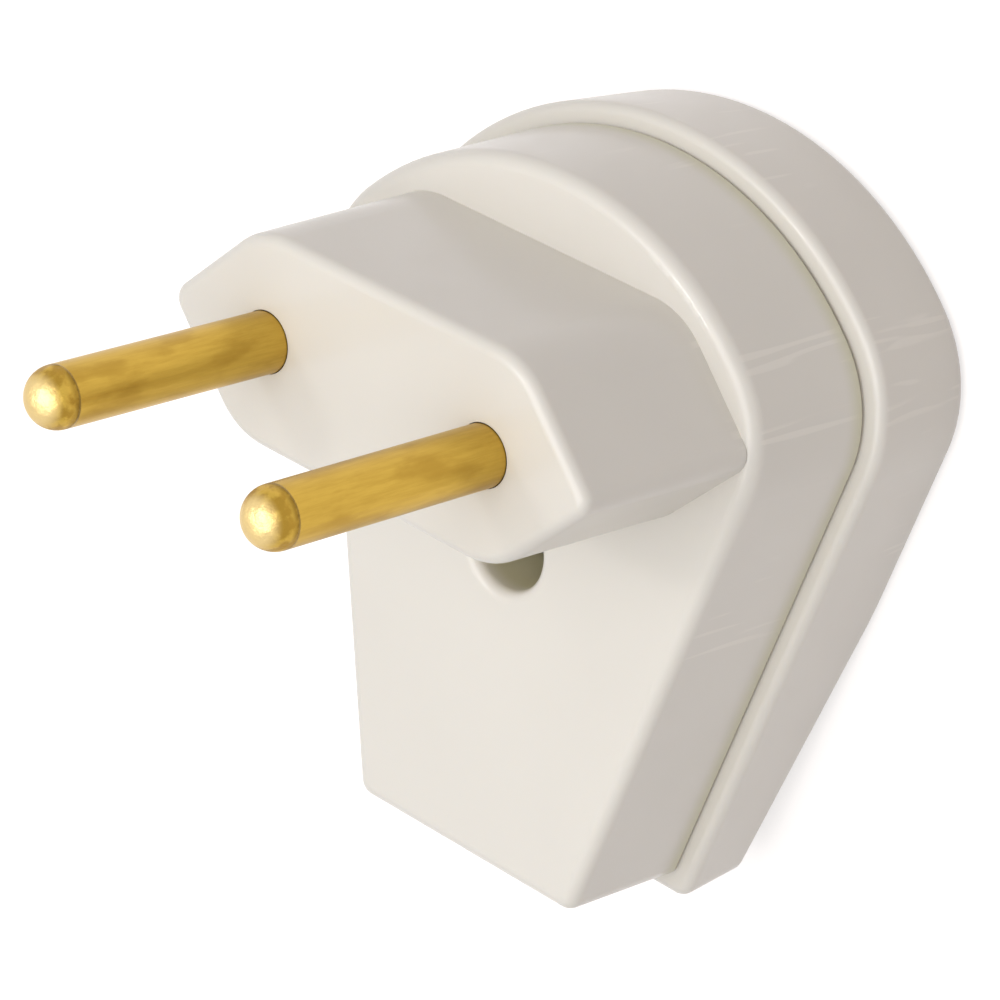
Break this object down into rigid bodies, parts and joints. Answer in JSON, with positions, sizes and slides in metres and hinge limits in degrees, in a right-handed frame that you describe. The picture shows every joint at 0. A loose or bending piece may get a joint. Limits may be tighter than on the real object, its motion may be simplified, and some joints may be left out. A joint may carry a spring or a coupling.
{
  "type": "two-pin plug",
  "caption": "Two-pin mains plug with round brass pins, a six-sided nose and a tapering two-part housing; the cord leaves at a right angle to the pins.",
  "frame": {"origin": "on the rear face, midway between the axes of the two pins", "axes": "+Z towards the pin tips, +X from the left pin to the right pin, -Y the way the cord leaves"},
  "size_m": [0.0404, 0.0508, 0.0523],
  "materials": {
    "housing": "warm off-white moulded plastic, semi-gloss",
    "pins": "satin brass, drawn along the pins",
    "screws": "zinc-plated steel",
    "clamp": "dark moulded plastic"
  },
  "bodies": {
    "root": {"front_shell": "housing", "rear_shell": "housing", "pin_left": "pins", "pin_right": "pins", "terminal_screw_left": "screws", "terminal_screw_right": "screws", "cord_clamp": "clamp", "clamp_screw_left": "screws", "clamp_screw_right": "screws", "housing_screw": "screws", "housing_nut": "screws"}
  },
  "joints": []
}
